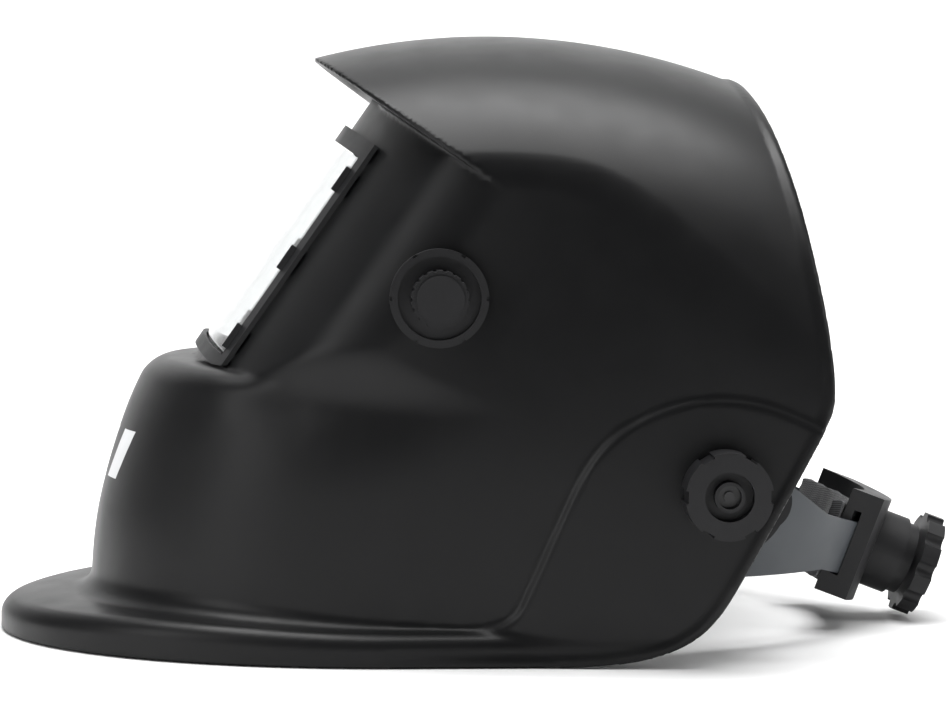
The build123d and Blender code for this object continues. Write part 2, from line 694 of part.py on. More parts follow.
with BuildPart() as crown_strap_buttons:
    for rear in (-52.0, -24.0):
        with BuildSketch(band_plane(STRAP_RISE - 5.5, rear + STRAP_WIDTH / 2)):
            Circle(2.9)
        extrude(amount=5.7)
        with BuildSketch(band_plane(STRAP_RISE + 0.2, rear + STRAP_WIDTH / 2)):
            Circle(6.0)
        extrude(amount=2.0)
finish("crown_strap_buttons", crown_strap_buttons)

with BuildPart() as crown_strap_rivets:
    for rear in (-52.0, -24.0):
        middle = rear + STRAP_WIDTH / 2
        foot_x = BAND_A * math.sqrt(1 - (rear + STRAP_WIDTH) ** 2 / BAND_B**2)
        for _, side in SIDES:
            with BuildSketch(side_plane(foot_x - 0.2, side, *band_point(middle, 8))):
                Circle(2.4)
            extrude(amount=2.0)
            with BuildSketch(side_plane(foot_x + 1.8, side, *band_point(middle, 8))):
                Circle(4.5)
            extrude(amount=1.4)
finish("crown_strap_rivets", crown_strap_rivets)

with BuildPart() as ratchet_housing:
    with BuildSketch(band_plane(RATCHET_UP - 20)):
        add(oval_ring(8.0, 11.0))
        with Locations((0, 100)):
            Rectangle(68, 60, mode=Mode.INTERSECT)
    extrude(amount=40)
    with BuildSketch(rear_plane(104)):
        Circle(15.0)
    extrude(amount=14)
    with BuildSketch(rear_plane(110)):
        Circle(12.0)
    extrude(amount=20, mode=Mode.SUBTRACT)
    with BuildSketch(band_plane(RATCHET_UP - 12.5)):
        add(oval_ring(BAND_THICK + 2 * FIT, BAND_THICK + 2 * FIT))
    extrude(amount=25, mode=Mode.SUBTRACT)
    with BuildSketch(rear_plane(98)):
        Circle(3.3)
    extrude(amount=40, mode=Mode.SUBTRACT)
finish("ratchet_housing", ratchet_housing)

with BuildPart() as ratchet_cover:
    with BuildSketch(rear_plane(118.1)):
        Circle(13.6)
        Circle(3.3, mode=Mode.SUBTRACT)
    extrude(amount=4.0)
finish("ratchet_cover", ratchet_cover)

with BuildPart() as ratchet_pawl_ring:
    with BuildSketch(rear_plane(110.4)):
        Circle(11.8)
        Circle(9.0, mode=Mode.SUBTRACT)
    extrude(amount=4.0)
    with BuildSketch(rear_plane(110.4)):
        with PolarLocations(8.9, 2):
            Rectangle(1.0, 1.4)
    extrude(amount=4.0)
finish("ratchet_pawl_ring", ratchet_pawl_ring)

with BuildPart() as ratchet_wheel:
    with BuildSketch(rear_plane(110.4)):
        Circle(8.1)
        with PolarLocations(8.3, 24):
            Circle(0.5, mode=Mode.SUBTRACT)
        Circle(3.0, mode=Mode.SUBTRACT)
    extrude(amount=4.0)
finish("ratchet_wheel", ratchet_wheel)

with BuildPart() as ratchet_pinion:
    with BuildSketch(rear_plane(BAND_B + FIT)):
        Circle(3.2)
        with PolarLocations(3.6, 8):
            Rectangle(1.2, 1.2)
    extrude(amount=2.0)
    with BuildSketch(rear_plane(BAND_B + FIT + 2.0)):
        Circle(2.95)
    extrude(amount=21.5)
    with BuildSketch(rear_plane(118)):
        Circle(1.2)
    extrude(amount=8, mode=Mode.SUBTRACT)
finish("ratchet_pinion", ratchet_pinion)

with BuildPart() as ratchet_knob:
    with BuildSketch(rear_plane(RATCHET_FACE - 6.6)):
        Circle(RATCHET_RADIUS)
        with PolarLocations(RATCHET_RADIUS + 1.0, 10):
            Circle(3.0, mode=Mode.SUBTRACT)
    extrude(amount=6.6)
    with BuildSketch(rear_plane(RATCHET_FACE - 2.5)):
        Circle(5.0)
    extrude(amount=3, mode=Mode.SUBTRACT)
    with BuildSketch(rear_plane(RATCHET_FACE - 8)):
        Circle(1.25)
    extrude(amount=9, mode=Mode.SUBTRACT)
finish("ratchet_knob", ratchet_knob)

with BuildPart() as ratchet_screw:
    with BuildSketch(rear_plane(118.5)):
        Circle(1.15)
    extrude(amount=RATCHET_FACE - 2.4 - 118.5)
    with BuildSketch(rear_plane(RATCHET_FACE - 2.4)):
        Circle(3.2)
    extrude(amount=1.6)
    with BuildSketch(rear_plane(RATCHET_FACE - 1.4)):
        Rectangle(4.4, 0.9)
        Rectangle(0.9, 4.4)
    extrude(amount=1, mode=Mode.SUBTRACT)
finish("ratchet_screw", ratchet_screw)

with BuildPart() as nape_pad:
    with BuildSketch(band_plane(-15)):
        add(oval_ring(-3.4, 5.0))
        with Locations((0, 100)):
            Rectangle(72, 60, mode=Mode.INTERSECT)
    extrude(amount=32)
finish("nape_pad", nape_pad)
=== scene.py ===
"""Looks of the auto-darkening welding helmet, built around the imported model."""

import math

import bmesh
import bpy
import numpy as np
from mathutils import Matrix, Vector
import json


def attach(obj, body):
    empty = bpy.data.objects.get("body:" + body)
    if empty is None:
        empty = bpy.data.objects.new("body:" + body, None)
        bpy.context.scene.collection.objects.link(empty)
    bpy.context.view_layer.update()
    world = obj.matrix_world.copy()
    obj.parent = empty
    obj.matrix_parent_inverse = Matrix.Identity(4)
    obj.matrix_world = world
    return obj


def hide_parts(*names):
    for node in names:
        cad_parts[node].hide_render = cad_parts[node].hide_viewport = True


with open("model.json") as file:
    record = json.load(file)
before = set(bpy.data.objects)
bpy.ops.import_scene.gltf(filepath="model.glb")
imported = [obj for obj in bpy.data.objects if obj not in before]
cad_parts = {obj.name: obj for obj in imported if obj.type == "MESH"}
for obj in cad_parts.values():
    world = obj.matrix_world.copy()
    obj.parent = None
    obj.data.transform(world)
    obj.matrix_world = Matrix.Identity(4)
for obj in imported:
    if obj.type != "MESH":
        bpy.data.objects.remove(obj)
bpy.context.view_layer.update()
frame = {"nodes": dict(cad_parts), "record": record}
MM = 0.001

# ---- driving sizes, millimetres ---------------------------------------------------------
WALL = 3.3
GRID = 1.3  # spacing of the lattice that the shell is meshed on
CROWN_CENTRE = (4.0, -35.5)
CROWN_RADIUS = 256.0
CROWN_FLAT = 150.0  # radius from which the arch starts to round over
CROWN_HALF_WIDTH = 114.0
CROWN_POWER = 2.15
CROWN_ROUND = 4.0  # where the crown meets the sides
CORNER_ROUND = 12.0  # where the lens panel meets the sides
VISOR_TIP = (-61.0, 212.0)
VISOR_SLOPE = math.radians(35.3)
VISOR_WALL = 3.3
LEAN = math.radians(35.0)
LENS_FACE = 144.5
LENS_RADIUS = 143.6
LENS_ALONG = 76.4
WINDOW_HALF = (52.0, 43.5)
CHIN_CENTRE_Y = -27.0
PANEL_START_Z = 90.0
PIVOT = (79.9, 61.6)

# stations along the shell: Y and half width of the side wall
SIDE_Y = np.array([-60.0, -27.0, 0.0, 20.0, 40.0, 60.0, 90.0, 135.0])
SIDE_X = np.array([97.6, 98.0, 102.2, 106.0, 109.0, 111.0, 112.6, 113.5])
# height and front half length of the chin
CHIN_Z = np.array([0.0, 21.5, 39.5, 55.6, 79.0, 92.0, 102.0])
CHIN_FRONT = np.array([118.4, 117.6, 116.0, 112.6, 105.5, 100.0, 94.5])
# the bars printed on the chin
BAR_STEPS = 8
BAR_LOW = 58.0
BAR_HEIGHT = 18.0
BAR_PITCH = 26.0
BAR_WIDTH = 13.0
BAR_SLANT = 7.0
PRINT_THICK = 0.12
# the pads, in metres
PAD_VOXEL = 0.0016  # the pads are about 3 mm thick, so the cells are finer than that
PAD_SHRINK = 0.0009
CHANNEL = 0.006
# Y and half width of the lip's outer edge
LIP_Y = np.array([-180.0, -27.0, 0.0, 20.0, 60.0, 135.0])
LIP_X = np.array([107.4, 107.4, 107.6, 107.9, 112.9, 115.4])
LIP_FRONT = 151.4
# outline of the open back and lower corner, front of the crown round to the rim
BACK = ((94, 214), (97.5, 203.5), (102, 192), (105, 181), (109.5, 161), (113, 141), (116.5, 120))
BACK += ((118.5, 101), (118.6, 92), (116, 84), (84, 26), (77.5, 16.6), (70.5, 10), (60, 5), (48, 2))
BACK += ((32, 0.6), (16, 0.0))
# upper edge of the raised panel round the pivot, from the lip to the open back
STEP = ((-60, 12), (-10, 12.5), (3, 14), (9, 18), (12.5, 25), (26, 56), (30.5, 65.5), (36, 74.5))
STEP += ((43, 81.5), (52, 87), (63, 91.5), (75, 93.6), (87, 93), (99, 90), (114, 83), (135, 73))


def smooth_path(points, rounds=2):
    """Corner cutting: a soft curve through a short outline."""
    path = np.array(points, float)
    for _ in range(rounds):
        cut = np.empty((2 * len(path) - 2, 2))
        cut[0::2] = 0.75 * path[:-1] + 0.25 * path[1:]
        cut[1::2] = 0.25 * path[:-1] + 0.75 * path[1:]
        path = np.vstack([path[:1], cut, path[-1:]])
    return path


def signed_distance(path, y, z):
    """Distance to an open path in the side view, positive on its left."""
    best = np.full(y.shape, 1e9, np.float32)
    sign = np.ones(y.shape, np.float32)
    for (y0, z0), (y1, z1) in zip(path[:-1], path[1:], strict=True):
        dy, dz = y1 - y0, z1 - z0
        long2 = dy * dy + dz * dz
        along = np.clip(((y - y0) * dy + (z - z0) * dz) / long2, 0, 1)
        off_y = y - (y0 + along * dy)
        off_z = z - (z0 + along * dz)
        far = off_y * off_y + off_z * off_z
        nearer = far < best
        side = dy * (z - z0) - dz * (y - y0)
        best = np.where(nearer, far, best)
        sign = np.where(nearer, np.where(side >= 0, 1.0, -1.0), sign)
    return np.sqrt(best) * sign


def round_max(a, b, r):
    """Intersection of two distance fields with a round edge."""
    corner = np.hypot(np.maximum(a + r, 0), np.maximum(b + r, 0))
    return np.minimum(-r, np.maximum(a, b)) + corner


def round_min(a, b, r):
    """Union of two distance fields with a round fillet."""
    return -round_max(-a, -b, r)


def ramp(low, high, value):
    t = np.clip((value - low) / (high - low), 0, 1)
    return t * t * (3 - 2 * t)


class SideMaps:
    """Fields of the side view alone, looked up from a fine map."""

    def __init__(self):
        self.step = 0.5
        self.y = np.arange(-200, 150, self.step)
        self.z = np.arange(-20, 250, self.step)
        grid_y, grid_z = np.meshgrid(self.y, self.z, indexing="ij")
        back = smooth_path(BACK, 2)
        back = np.vstack([(90.0, 240.0), back, (-300.0, 0.0)])
        self.back = signed_distance(back, grid_y, grid_z)
        self.panel = signed_distance(smooth_path(STEP, 2), grid_y, grid_z)

    def look(self, table, y, z):
        u = np.clip((y - self.y[0]) / self.step, 0, len(self.y) - 1.001)
        v = np.clip((z - self.z[0]) / self.step, 0, len(self.z) - 1.001)
        i = u.astype(int)
        j = v.astype(int)
        u = u - i
        v = v - j
        low = table[i, j] * (1 - u) + table[i + 1, j] * u
        high = table[i, j + 1] * (1 - u) + table[i + 1, j + 1] * u
        return low * (1 - v) + high * v


maps = SideMaps()


def crown_field(x, y, z):
    radius = np.hypot(y - CROWN_CENTRE[0], z - CROWN_CENTRE[1])
    u = np.abs(x) / CROWN_HALF_WIDTH
    v = np.maximum(radius - CROWN_FLAT, 0) / (CROWN_RADIUS - CROWN_FLAT)
    p = CROWN_POWER
    total = (u**p + v**p) ** (1 / p) + 1e-6
    slope_x = (u / total) ** (p - 1) / CROWN_HALF_WIDTH
    slope_r = (v / total) ** (p - 1) / (CROWN_RADIUS - CROWN_FLAT)
    return (total - 1) / np.maximum(np.hypot(slope_x, slope_r), 1e-4)


def lean_shift(z):
    """How far the leaning panel has moved the side wall back, with a soft start."""
    above = np.clip((z - PANEL_START_Z + 30.0) / 60.0, 0, 1)
    soft = 30.0 * above**2 + np.maximum(z - PANEL_START_Z - 30.0, 0)
    return soft * math.tan(LEAN)


def side_field(x, y, z):
    return np.abs(x) - np.interp(y - lean_shift(z), *SIDE)


def panel_field(x, y, z):
    out = -y * math.cos(LEAN) + z * math.sin(LEAN)
    inner = np.minimum(np.abs(x), 110.0)
    bow = LENS_RADIUS - np.sqrt(LENS_RADIUS**2 - inner**2)
    return (out - (LENS_FACE - bow)) * np.sqrt(1 - (inner / LENS_RADIUS) ** 2)


def plan_field(x, y, width, front):
    """Half an ellipse in front, straight walls behind."""
    u = x / width
    v = np.minimum(y - CHIN_CENTRE_Y, 0) / front
    total = np.sqrt(u * u + v * v) + 1e-6
    slope = np.hypot(u / width, v / front) / total
    return (total - 1) / np.maximum(slope, 1e-4)


def soft_table(stations, values):
    """A smooth curve through a few stations, sampled finely for lookup."""
    return smooth_path(list(zip(stations, values, strict=True)), 4).T


SIDE = soft_table(SIDE_Y, SIDE_X)
FRONT = soft_table(CHIN_Z, CHIN_FRONT)
LIP = soft_table(LIP_Y, LIP_X)


def shell_field(points):
    """Distance to the wall of the shell, negative inside the plastic."""
    x, y, z = (points[..., i] for i in range(3))
    back = maps.look(maps.back, y, z)
    panel = maps.look(maps.panel, y, z)
    crown = crown_field(x, y, z)
    side = side_field(x, y, z)
    prism = round_max(panel_field(x, y, z), side, CORNER_ROUND + 28.0 * ramp(112.0, 86.0, z))
    upper = round_max(prism, crown, CROWN_ROUND)
    # the chin, with its shelf below the lens; its crease fades out along the side
    wall = plan_field(x, y, np.interp(y - lean_shift(z), *SIDE), np.interp(z, *FRONT))
    shelf = z - (101.8 - 2.5 * (x / 85.0) ** 2)
    front = np.minimum(round_max(wall, shelf, 7.0), np.maximum(upper, 80.0 - z))
    high = ramp(55.0, 105.0, z)
    beside = round_max(wall * (1 - high) + prism * high, crown, CROWN_ROUND)
    aft = ramp(-100.0, -64.0, y)
    body = front * (1 - aft) + beside * aft
    # the lip round the chin, which runs on as the raised panel behind
    forward = ramp(-30.0, -130.0, y)
    edge = plan_field(x, y, np.interp(y, *LIP), LIP_FRONT)
    reach = 8.0 + 26.0 * forward
    part = np.clip(wall / reach, 0, 1)
    top = z - (12.0 + (3.0 - 4.2 * part**2) * forward)
    lip = round_max(edge, top, 5.5)
    # the visor: the crown carried on over the lens panel and cut along its sloping rim
    rim = (VISOR_TIP[1] - z) * math.cos(VISOR_SLOPE) + (VISOR_TIP[0] - y) * math.sin(VISOR_SLOPE)
    dome = round_max(crown, side, CROWN_ROUND)
    # its underside closes up where the rim runs out in the wall
    soft = 1.2 * ramp(8.0, -12.0, y)
    thick = VISOR_WALL + 60.0 * ramp(-45.0, -18.0, y)
    air = np.where(y > 30.0, prism, round_max(-(crown + thick), rim, soft))
    hood = np.maximum(round_max(dome, air, soft), 106.0 - z)
    main = round_min(hood, body, 2.0 * ramp(-1.5, -5.0, crown) * ramp(10.0, -20.0, y))
    proud = 1.9 * ramp(1.7, -1.7, panel) * ramp(-14.0, 6.0, y)
    fillet = 1.4 + 6.0 * ramp(20.0, -110.0, y)
    outer = round_min(main - proud, lip, fillet)
    outer = outer - 0.8 * ramp(4.6, 2.2, np.abs(back)) * ramp(-40.0, 20.0, y)
    filled = np.minimum(body, lip)
    skin = round_max(outer, -(filled + WALL), 0.6)
    # openings: lens window and pivot holes
    along = y * math.sin(LEAN) + z * math.cos(LEAN) - LENS_ALONG
    out = -y * math.cos(LEAN) + z * math.sin(LEAN)
    window = np.maximum(np.abs(x) - WINDOW_HALF[0], np.abs(along) - WINDOW_HALF[1])
    window = np.maximum(window, 100.0 - out)
    skin = np.maximum(skin, -window)
    skin = np.maximum(skin, 5.0 - np.hypot(y - PIVOT[0], z - PIVOT[1]))
    return round_max(round_max(skin, back, 0.7), -z, 0.7)


def surface_nets(field, origin, step):
    """Quads round the zero level of a sampled field, one corner per crossed cell."""
    inside = field < 0
    nx, ny, nz = field.shape
    cell = np.zeros((nx - 1, ny - 1, nz - 1), np.int8)
    for i in (0, 1):
        for j in (0, 1):
            for k in (0, 1):
                cell += inside[i : nx - 1 + i, j : ny - 1 + j, k : nz - 1 + k]
    mixed = (cell > 0) & (cell < 8)
    index = np.full(cell.shape, -1, np.int64)
    spots = np.argwhere(mixed)
    index[mixed] = np.arange(len(spots))
    total = np.zeros((len(spots), 3))
    count = np.zeros(len(spots))
    ci, cj, ck = spots.T
    for axis in range(3):
        others = [a for a in range(3) if a != axis]
        for p in (0, 1):
            for q in (0, 1):
                low = [ci, cj, ck]
                low[others[0]] = low[others[0]] + p
                low[others[1]] = low[others[1]] + q
                high = list(low)
                high[axis] = high[axis] + 1
                a = field[tuple(low)]
                b = field[tuple(high)]
                cross = (a < 0) != (b < 0)
                t = np.where(cross, a / np.where(cross, a - b, 1), 0)
                spot = np.stack(low, 1).astype(float)
                spot[:, axis] += t
                total[cross] += spot[cross]
                count += cross
    verts = origin + step * total / count[:, None]
    quads = []
    for axis in range(3):
        u, v = [(1, 2), (2, 0), (0, 1)][axis]
        low = [slice(1, -1)] * 3
        low[axis] = slice(0, -1)
        high = [slice(1, -1)] * 3
        high[axis] = slice(1, None)
        a = inside[tuple(low)]
        b = inside[tuple(high)]
        for flip, hit in ((False, a & ~b), (True, ~a & b)):
            e = np.argwhere(hit)
            e[:, u] += 1
            e[:, v] += 1
            corners = []
            for p, q in ((1, 1), (0, 1), (0, 0), (1, 0)):
                c = e.copy()
                c[:, u] -= p
                c[:, v] -= q
                corners.append(index[c[:, 0], c[:, 1], c[:, 2]])
            quad = np.stack(corners, 1)
            quads.append(quad[:, ::-1] if flip else quad)
    quads = np.vstack(quads)
    return verts, quads[(quads >= 0).all(1)]


def build_shell():
    """Mesh the left half of the shell field and mirror it."""
    xs = np.arange(-GRID / 2, 118, GRID)
    ys = np.arange(-184, 124, GRID)
    zs = np.arange(-3 * GRID, 225, GRID)
    field = np.empty((len(xs), len(ys), len(zs)), np.float32)
    gy, gz = np.meshgrid(ys, zs, indexing="ij")
    for i, x in enumerate(xs):
        grid = np.stack([np.full(gy.shape, abs(x)), gy, gz], -1)
        field[i] = shell_field(grid)
    verts, quads = surface_nets(field, np.array([xs[0], ys[0], zs[0]]), GRID)
    # keep the half on +X; corners of the first layer lie on the middle plane
    middle = verts[:, 0] < GRID * 0.25
    move = ~middle
    for _ in range(4):
        p = verts[move]
        value = shell_field(p)
        grad = np.empty_like(p)
        for axis in range(3):
            d = np.zeros(3)
            d[axis] = 0.05
            grad[:, axis] = (shell_field(p + d) - shell_field(p - d)) / 0.1
        size = np.maximum((grad**2).sum(1), 0.2)
        p -= np.clip(value / size, -0.5, 0.5)[:, None] * grad
        verts[move] = p
    verts[middle, 0] = 0.0
    mirror = verts * np.array([-1.0, 1.0, 1.0])
    count = len(verts)
    target = np.where(middle, np.arange(count), np.arange(count) + count)
    other = target[quads][:, ::-1]
    every = np.vstack([quads, other])
    mesh = bpy.data.meshes.new("helmet_shell_skin")
    points = np.vstack([verts, mirror]) * MM
    mesh.from_pydata(points.tolist(), [], every.tolist())
    made = bmesh.new()
    made.from_mesh(mesh)
    loose = [v for v in made.verts if not v.link_faces]
    bmesh.ops.delete(made, geom=loose, context="VERTS")
    bmesh.ops.recalc_face_normals(made, faces=made.faces)
    made.to_mesh(mesh)
    made.free()
    mesh.polygons.foreach_set("use_smooth", [True] * len(mesh.polygons))
    piece = bpy.data.objects.new("helmet_shell_skin", mesh)
    bpy.context.collection.objects.link(piece)
    return piece


# ---- materials --------------------------------------------------------------------------
def new_material(name):
    material = bpy.data.materials.new(name)
    material.use_nodes = True
    nodes = material.node_tree.nodes
    return material, nodes, material.node_tree.links, nodes["Principled BSDF"]


def grain(nodes, links, scale, detail=3.0, stretch=(1, 1, 1)):
    """Noise in the piece's own space, in metres."""
    place = nodes.new("ShaderNodeTexCoord")
    move = nodes.new("ShaderNodeMapping")
    move.inputs["Scale"].default_value = stretch
    noise = nodes.new("ShaderNodeTexNoise")
    noise.inputs["Scale"].default_value = scale
    noise.inputs["Detail"].default_value = detail
    links.new(place.outputs["Object"], move.inputs["Vector"])
    links.new(move.outputs["Vector"], noise.inputs["Vector"])
    return noise


def spread(nodes, links, noise, low, high):
    """A colour ramp from one tone to another over a noise."""
    ramp_node = nodes.new("ShaderNodeValToRGB")
    ramp_node.color_ramp.elements[0].position = 0.3
    ramp_node.color_ramp.elements[1].position = 0.7
    ramp_node.color_ramp.elements[0].color = (*low, 1)
    ramp_node.color_ramp.elements[1].color = (*high, 1)
    links.new(noise.outputs["Fac"], ramp_node.inputs["Fac"])
    return ramp_node.outputs["Color"]


def roughness_from(nodes, links, noise, low, high):
    fit = nodes.new("ShaderNodeMapRange")
    fit.inputs["From Min"].default_value = 0.3
    fit.inputs["From Max"].default_value = 0.7
    fit.inputs["To Min"].default_value = low
    fit.inputs["To Max"].default_value = high
    links.new(noise.outputs["Fac"], fit.inputs["Value"])
    return fit.outputs["Result"]


def bump_from(nodes, links, noise, strength, depth, shader):
    bump = nodes.new("ShaderNodeBump")
    bump.inputs["Strength"].default_value = strength
    bump.inputs["Distance"].default_value = depth
    links.new(noise.outputs["Fac"], bump.inputs["Height"])
    links.new(bump.outputs["Normal"], shader.inputs["Normal"])


def moulded(name, low, high, rough, fine, depth=0.00006, level=0.5):
    """Moulded plastic: slow colour drift, uneven sheen and a fine spark-eroded grain."""
    material, nodes, links, shader = new_material(name)
    slow = grain(nodes, links, 9.0)
    links.new(spread(nodes, links, slow, low, high), shader.inputs["Base Color"])
    patch = grain(nodes, links, 60.0)
    links.new(roughness_from(nodes, links, patch, *rough), shader.inputs["Roughness"])
    bump_from(nodes, links, grain(nodes, links, fine, 2.0), 0.35, depth, shader)
    shader.inputs["Specular IOR Level"].default_value = level
    return material


def clear_plastic():
    material, nodes, links, shader = new_material("clear_polycarbonate")
    shader.inputs["Transmission Weight"].default_value = 1.0
    shader.inputs["IOR"].default_value = 1.3
    tint = grain(nodes, links, 6.0)
    links.new(
        spread(nodes, links, tint, (0.95, 0.965, 0.97), (0.98, 0.985, 0.99)),
        shader.inputs["Base Color"],
    )
    links.new(roughness_from(nodes, links, tint, 0.02, 0.05), shader.inputs["Roughness"])
    return material


def filter_glass():
    material, nodes, links, shader = new_material("filter_glass")
    slow = grain(nodes, links, 14.0)
    links.new(
        spread(nodes, links, slow, (0.010, 0.035, 0.018), (0.016, 0.050, 0.026)),
        shader.inputs["Base Color"],
    )
    links.new(roughness_from(nodes, links, slow, 0.04, 0.09), shader.inputs["Roughness"])
    shader.inputs["Coat Weight"].default_value = 1.0
    shader.inputs["Coat Roughness"].default_value = 0.03
    return material


def solar_cell():
    """Dark violet cells with fine silver fingers."""
    material, nodes, links, shader = new_material("solar_cell")
    place = nodes.new("ShaderNodeTexCoord")
    bricks = nodes.new("ShaderNodeTexBrick")
    bricks.inputs["Scale"].default_value = 120.0
    bricks.inputs["Color1"].default_value = (0.02, 0.015, 0.06, 1)
    bricks.inputs["Color2"].default_value = (0.03, 0.02, 0.075, 1)
    bricks.inputs["Mortar"].default_value = (0.25, 0.25, 0.3, 1)
    bricks.inputs["Mortar Size"].default_value = 0.02
    links.new(place.outputs["Object"], bricks.inputs["Vector"])
    links.new(bricks.outputs["Color"], shader.inputs["Base Color"])
    patch = grain(nodes, links, 80.0)
    links.new(roughness_from(nodes, links, patch, 0.08, 0.16), shader.inputs["Roughness"])
    return material


def plated_steel():
    material, nodes, links, shader = new_material("plated_steel")
    brush = grain(nodes, links, 500.0, 4.0, (1, 12, 12))
    links.new(
        spread(nodes, links, brush, (0.42, 0.43, 0.45), (0.62, 0.63, 0.65)),
        shader.inputs["Base Color"],
    )
    links.new(roughness_from(nodes, links, brush, 0.22, 0.38), shader.inputs["Roughness"])
    shader.inputs["Metallic"].default_value = 1.0
    bump_from(nodes, links, brush, 0.2, 0.00003, shader)
    return material


def woven_cloth():
    """Knitted cloth over foam: two crossed waves of yarn and patches of uneven roughness."""
    material, nodes, links, shader = new_material("sweatband_cloth")
    place = nodes.new("ShaderNodeTexCoord")
    yarns = []
    for axis in ("X", "Z"):
        wave = nodes.new("ShaderNodeTexWave")
        wave.bands_direction = axis
        wave.inputs["Scale"].default_value = 420.0
        wave.inputs["Distortion"].default_value = 1.6
        wave.inputs["Detail"].default_value = 1.0
        links.new(place.outputs["Object"], wave.inputs["Vector"])
        yarns.append(wave)
    weave = nodes.new("ShaderNodeMath")
    weave.operation = "MAXIMUM"
    for i, wave in enumerate(yarns):
        links.new(wave.outputs["Fac"], weave.inputs[i])
    tone = nodes.new("ShaderNodeValToRGB")
    tone.color_ramp.elements[0].color = (0.012, 0.012, 0.014, 1)
    tone.color_ramp.elements[1].color = (0.055, 0.056, 0.06, 1)
    links.new(weave.outputs["Value"], tone.inputs["Fac"])
    links.new(tone.outputs["Color"], shader.inputs["Base Color"])
    bump = nodes.new("ShaderNodeBump")
    bump.inputs["Strength"].default_value = 0.6
    bump.inputs["Distance"].default_value = 0.0003
    links.new(weave.outputs["Value"], bump.inputs["Height"])
    links.new(bump.outputs["Normal"], shader.inputs["Normal"])
    patch = grain(nodes, links, 90.0)
    links.new(roughness_from(nodes, links, patch, 0.8, 0.95), shader.inputs["Roughness"])
    shader.inputs["Sheen Weight"].default_value = 0.25
    return material


SHELL = moulded(
    "shell_nylon",
    (0.0052, 0.0053, 0.0057),
    (0.0075, 0.0076, 0.008),
    (0.36, 0.42),
    2600.0,
    level=0.22,
)
BLACK = moulded(
    "black_nylon", (0.008, 0.008, 0.009), (0.014, 0.014, 0.015), (0.42, 0.55), 1800.0, level=0.3,
)
BAND = moulded("slate_band", (0.030, 0.035, 0.041), (0.040, 0.046, 0.053), (0.42, 0.52), 2200.0)
RUBBER = moulded("black_rubber", (0.008, 0.008, 0.008), (0.018, 0.018, 0.018), (0.7, 0.85), 1500.0)
PALE = moulded("pale_print", (0.62, 0.63, 0.64), (0.72, 0.73, 0.74), (0.45, 0.6), 900.0)
CLEAR = clear_plastic()
GLASS = filter_glass()
CELL = solar_cell()
STEEL = plated_steel()
DARK_STEEL = moulded(
    "black_oxide_steel", (0.012, 0.012, 0.013), (0.02, 0.02, 0.021), (0.32, 0.42), 1500.0,
)
CLOTH = woven_cloth()
LOOKS = {
    "shell_plastic": SHELL,
    "black_plastic": BLACK,
    "band_plastic": BAND,
    "clear_lens": CLEAR,
    "filter_glass": GLASS,
    "solar_cell": CELL,
    "filter_case": BLACK,
    "soft_foam": CLOTH,
    "rubber_seal": RUBBER,
    "steel": STEEL,
}


def dress(piece, material):
    piece.data.materials.clear()
    piece.data.materials.append(material)
    return piece


for part in frame["record"]["subparts"]:
    dress(frame["nodes"][part["node"]], LOOKS[part["material_slot"]])

for stud in ("pivot_stud_left", "pivot_stud_right"):
    dress(frame["nodes"][stud], DARK_STEEL)

# ---- camera, floor and light ------------------------------------------------------------
EYE = Vector((1.2, -0.065, 0.192))
AIM = Vector((0.0, 0.0, 0.1003))
camera = bpy.data.objects.new("camera", bpy.data.cameras.new("camera"))
bpy.context.collection.objects.link(camera)
camera.data.lens = 121.0
camera.data.sensor_width = 36.0
camera.location = EYE
camera.rotation_euler = (AIM - EYE).to_track_quat("-Z", "Y").to_euler()
camera.data.clip_start = 0.01
bpy.context.scene.camera = camera
bpy.context.scene.view_settings.view_transform = "Standard"


def soft_light(name, place, aim, size, power, tall=None):
    light = bpy.data.lights.new(name, "AREA")
    light.shape = "RECTANGLE"
    light.size = size
    light.size_y = tall or size
    light.energy = power
    lamp = bpy.data.objects.new(name, light)
    bpy.context.collection.objects.link(lamp)
    lamp.location = place
    lamp.rotation_euler = (Vector(aim) - Vector(place)).to_track_quat("-Z", "Y").to_euler()
    return lamp


def build_floor():
    """A pale floor that curves up into a backdrop behind the helmet."""
    outline = [(3.0, 0.0), (-1.2, 0.0)]
    for turn in range(1, 13):
        angle = math.radians(turn * 7.5)
        outline.append((-1.2 - 0.8 * math.sin(angle), 0.8 - 0.8 * math.cos(angle)))
    outline.append((-2.0, 4.0))
    mesh = bpy.data.meshes.new("studio_floor")
    verts = [(x, y, z) for x, z in outline for y in (-5.0, 5.0)]
    faces = [(2 * i, 2 * i + 1, 2 * i + 3, 2 * i + 2) for i in range(len(outline) - 1)]
    mesh.from_pydata(verts, [], faces)
    floor = bpy.data.objects.new("studio_floor", mesh)
    bpy.context.collection.objects.link(floor)
    material, nodes, links, shader = new_material("studio_paper")
    soft = grain(nodes, links, 3.0)
    paper = spread(nodes, links, soft, (0.9, 0.9, 0.9), (0.92, 0.92, 0.92))
    links.new(paper, shader.inputs["Base Color"])
    shader.inputs["Roughness"].default_value = 0.9
    floor.data.materials.append(material)


build_floor()
soft_light("overhead", (0.1, 0.0, 1.5), (0.0, 0.0, 0.1), 1.6, 30.0, 0.9)
soft_light("front_left", (0.9, -1.5, 0.7), (0.0, -0.05, 0.1), 0.7, 9.0, 1.2)
soft_light("rear_left", (0.5, 1.6, 0.7), (0.0, 0.1, 0.1), 0.5, 9.0, 1.2)
soft_light("backdrop", (-0.5, 0.0, 2.4), (-1.9, 0.0, 0.6), 2.4, 60.0, 1.0)
world = bpy.data.worlds.new("studio")
world.use_nodes = True
world.node_tree.nodes["Background"].inputs["Color"].default_value = (1, 1, 1, 1)
world.node_tree.nodes["Background"].inputs["Strength"].default_value = 0.05
bpy.context.scene.world = world

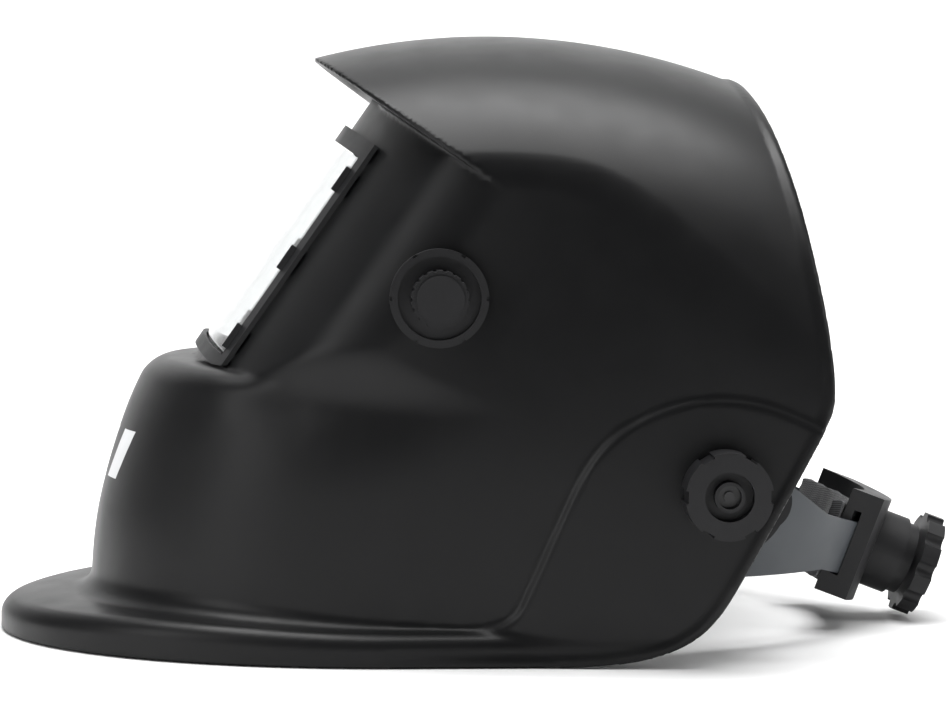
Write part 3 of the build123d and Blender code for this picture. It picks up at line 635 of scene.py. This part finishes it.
# ---- shell ------------------------------------------------------------------------------
shell = dress(build_shell(), SHELL)
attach(shell, "shell")
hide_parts("helmet_shell")

# ---- print on the chin ------------------------------------------------------------------
def chin_bars():
    """Three slanted bars printed on the front of the chin."""
    mesh = bpy.data.meshes.new("chin_bars")
    made = bmesh.new()
    for bar in (-1, 0, 1):
        rows = []
        for step in range(BAR_STEPS + 1):
            part = step / BAR_STEPS
            z = BAR_LOW + part * BAR_HEIGHT
            row = []
            for across in range(BAR_STEPS + 1):
                x = bar * BAR_PITCH + (across / BAR_STEPS - 0.5) * BAR_WIDTH
                x += (part - 0.5) * BAR_SLANT
                # the first plastic met coming from the front
                line = np.arange(-160.0, -100.0, 0.05)
                points = np.stack([np.full_like(line, x), line, np.full_like(line, z)], -1)
                face = line[np.argmax(shell_field(points) < 0)]
                row.append(made.verts.new((x * MM, (face - PRINT_THICK) * MM, z * MM)))
            rows.append(row)
        for lower, upper_row in zip(rows[:-1], rows[1:], strict=True):
            for i in range(BAR_STEPS):
                made.faces.new((lower[i], lower[i + 1], upper_row[i + 1], upper_row[i]))
    made.to_mesh(mesh)
    made.free()
    bars = bpy.data.objects.new("chin_bars", mesh)
    bpy.context.collection.objects.link(bars)
    dress(bars, PALE)
    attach(bars, "shell")
    return bars


chin_bars()

# ---- pads -------------------------------------------------------------------------------
def stuffed(node_name, cap, seams):
    """A pad swollen by a cloth simulation and held down along its sewn channels."""
    node = frame["nodes"][node_name]
    mesh = node.data.copy()
    mesh.transform(node.matrix_world)
    mesh.materials.clear()
    pad = bpy.data.objects.new(node_name + "_stuffed", mesh)
    bpy.context.collection.objects.link(pad)
    remesh = pad.modifiers.new("remesh", "REMESH")
    remesh.mode = "VOXEL"
    remesh.voxel_size = PAD_VOXEL
    settle(pad)
    count = len(pad.data.vertices)
    start = np.empty(count * 3)
    normal = np.empty(count * 3)
    pad.data.vertices.foreach_get("co", start)
    pad.data.vertices.foreach_get("normal", normal)
    start = start.reshape(-1, 3) - PAD_SHRINK * normal.reshape(-1, 3)
    pad.data.vertices.foreach_set("co", start.ravel())
    pad.data.update()
    swell = cap * normal.reshape(-1, 3)
    cloth = pad.modifiers.new("cloth", "CLOTH")
    cloth.settings.use_pressure = True
    cloth.settings.uniform_pressure_force = 4.0
    cloth.settings.effector_weights.gravity = 0.0
    scene = bpy.context.scene
    for step in range(1, 21):
        scene.frame_set(step)
    shaped = pad.evaluated_get(bpy.context.evaluated_depsgraph_get()).to_mesh()
    end = np.empty(count * 3)
    shaped.vertices.foreach_get("co", end)
    pad.modifiers.remove(cloth)
    scene.frame_set(1)
    swell = end.reshape(-1, 3) - start
    size = np.linalg.norm(swell, axis=1)
    swell *= np.minimum(1.0, cap / np.maximum(size, 1e-9))[:, None]
    # the cover is pulled in along each sewn channel
    near = np.full(count, 1.0)
    for seam in seams:
        near = np.minimum(near, np.abs(start[:, 0] - seam) / CHANNEL)
    swell *= (near**2 * (3 - 2 * near))[:, None]
    pad.data.vertices.foreach_set("co", (start + swell).ravel())
    smooth = pad.modifiers.new("round", "SUBSURF")
    smooth.levels = smooth.render_levels = 1
    settle(pad)
    pad.data.polygons.foreach_set("use_smooth", [True] * len(pad.data.polygons))
    dress(pad, CLOTH)
    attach(pad, "headgear")
    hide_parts(node_name)
    return pad


def settle(piece):
    """Apply the modifiers of a piece to its mesh."""
    graph = bpy.context.evaluated_depsgraph_get()
    mesh = bpy.data.meshes.new_from_object(piece.evaluated_get(graph))
    piece.modifiers.clear()
    piece.data = mesh


stuffed("sweatband_pad", 0.0011, (-0.055, -0.033, -0.011, 0.011, 0.033, 0.055))
stuffed("nape_pad", 0.0013, (-0.016, 0.016))
